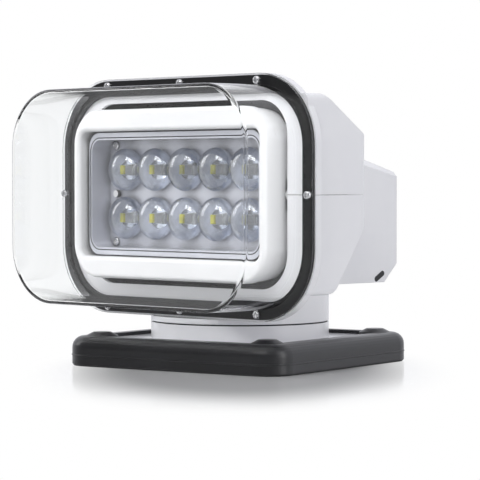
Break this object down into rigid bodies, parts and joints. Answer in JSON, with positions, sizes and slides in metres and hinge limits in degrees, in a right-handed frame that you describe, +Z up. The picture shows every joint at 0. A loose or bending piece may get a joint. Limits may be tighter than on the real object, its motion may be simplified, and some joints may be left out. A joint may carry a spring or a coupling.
{
  "type": "marine searchlight",
  "caption": "Remote-controlled LED searchlight: a white head pans on a magnetic rubber-booted base while its lamp tilts inside a deep clear dome.",
  "frame": {"origin": "on the pan axis at the underside of the rubber boot", "axes": "+Z up along the pan axis; the beam leaves the level lamp along -Y; +X along the tilt axis"},
  "size_m": [0.2, 0.1736, 0.1603],
  "materials": {
    "shell_white": "gloss",
    "lamp_white": "satin",
    "boot_rubber": "fine matt grain",
    "seal_rubber": "matt",
    "gland_black": "satin",
    "dome_clear": "clear, polished",
    "lens_clear": "clear, polished",
    "emitter_yellow": "phosphor",
    "panel_silver": "satin silver coat",
    "screw_steel": "polished stainless",
    "plain_steel": "turned",
    "magnet_grey": "matt",
    "acetal": "moulded",
    "pinion_brass": "cut",
    "motor_can": "drawn",
    "gearbox_black": "moulded",
    "sink_aluminium": "extruded",
    "board_green": "solder mask"
  },
  "bodies": {
    "base": {"rubber_boot": "boot_rubber", "base_plate": "shell_white", "magnet_cups": "plain_steel", "magnets": "magnet_grey", "magnet_screws": "screw_steel", "pan_ring_gear": "acetal", "ring_gear_screws": "screw_steel", "spindle": "plain_steel", "lock_nut": "plain_steel", "thrust_washer": "acetal", "nut_washer": "acetal", "spindle_nut": "plain_steel", "turret_seal": "seal_rubber", "cable_gland": "gland_black"},
    "head": {"turret": "shell_white", "housing_lower": "shell_white", "housing_upper": "shell_white", "rear_cover": "shell_white", "gasket": "seal_rubber", "drain_plugs": "seal_rubber", "dome": "dome_clear", "dome_screws": "screw_steel", "shell_screws": "screw_steel", "cover_screws": "screw_steel", "neck_screws": "screw_steel", "board_screws": "screw_steel", "gearbox_screws": "screw_steel", "tilt_bracket": "plain_steel", "pan_bush": "acetal", "tilt_bushes": "acetal", "pan_motor": "motor_can", "tilt_motor": "motor_can", "pan_gearbox": "gearbox_black", "tilt_gearbox": "gearbox_black", "control_board": "board_green"},
    "lamp": {"lamp_frame": "lamp_white", "led_panel": "panel_silver", "lenses": "lens_clear", "led_emitters": "emitter_yellow", "led_board": "sink_aluminium", "heat_sink": "sink_aluminium", "sink_screws": "screw_steel", "panel_screws": "screw_steel", "panel_pegs": "lamp_white", "tilt_pins": "plain_steel", "tilt_spacers": "lamp_white", "tilt_sector": "acetal"},
    "pan_drive": {"pan_pinion": "pinion_brass"},
    "tilt_drive": {"tilt_pinion": "pinion_brass"}
  },
  "joints": [
    {"name": "pan", "type": "hinge", "parent": "base", "child": "head", "pos_m": [0, 0, 0.03], "axis": [0, 0, 1], "range_deg": [-168.8, 191.2]},
    {"name": "tilt", "type": "hinge", "parent": "head", "child": "lamp", "pos_m": [0, -0.0385, 0.0955], "axis": [1, 0, 0], "range_deg": [-28, 28]},
    {"name": "pan_pinion_turn", "type": "hinge", "parent": "head", "child": "pan_drive", "pos_m": [-0.015, 0.02598, 0.0175], "axis": [0, 0, 1], "range_deg": [-960, 850]},
    {"name": "tilt_pinion_turn", "type": "hinge", "parent": "head", "child": "tilt_drive", "pos_m": [0, 0.005, 0.0955], "axis": [1, 0, 0], "range_deg": [-140, 140]}
  ],
  "couplings": [
    {"joint": "pan_pinion_turn", "follows": "pan", "ratio": -5},
    {"joint": "tilt_pinion_turn", "follows": "tilt", "ratio": -4.8}
  ]
}
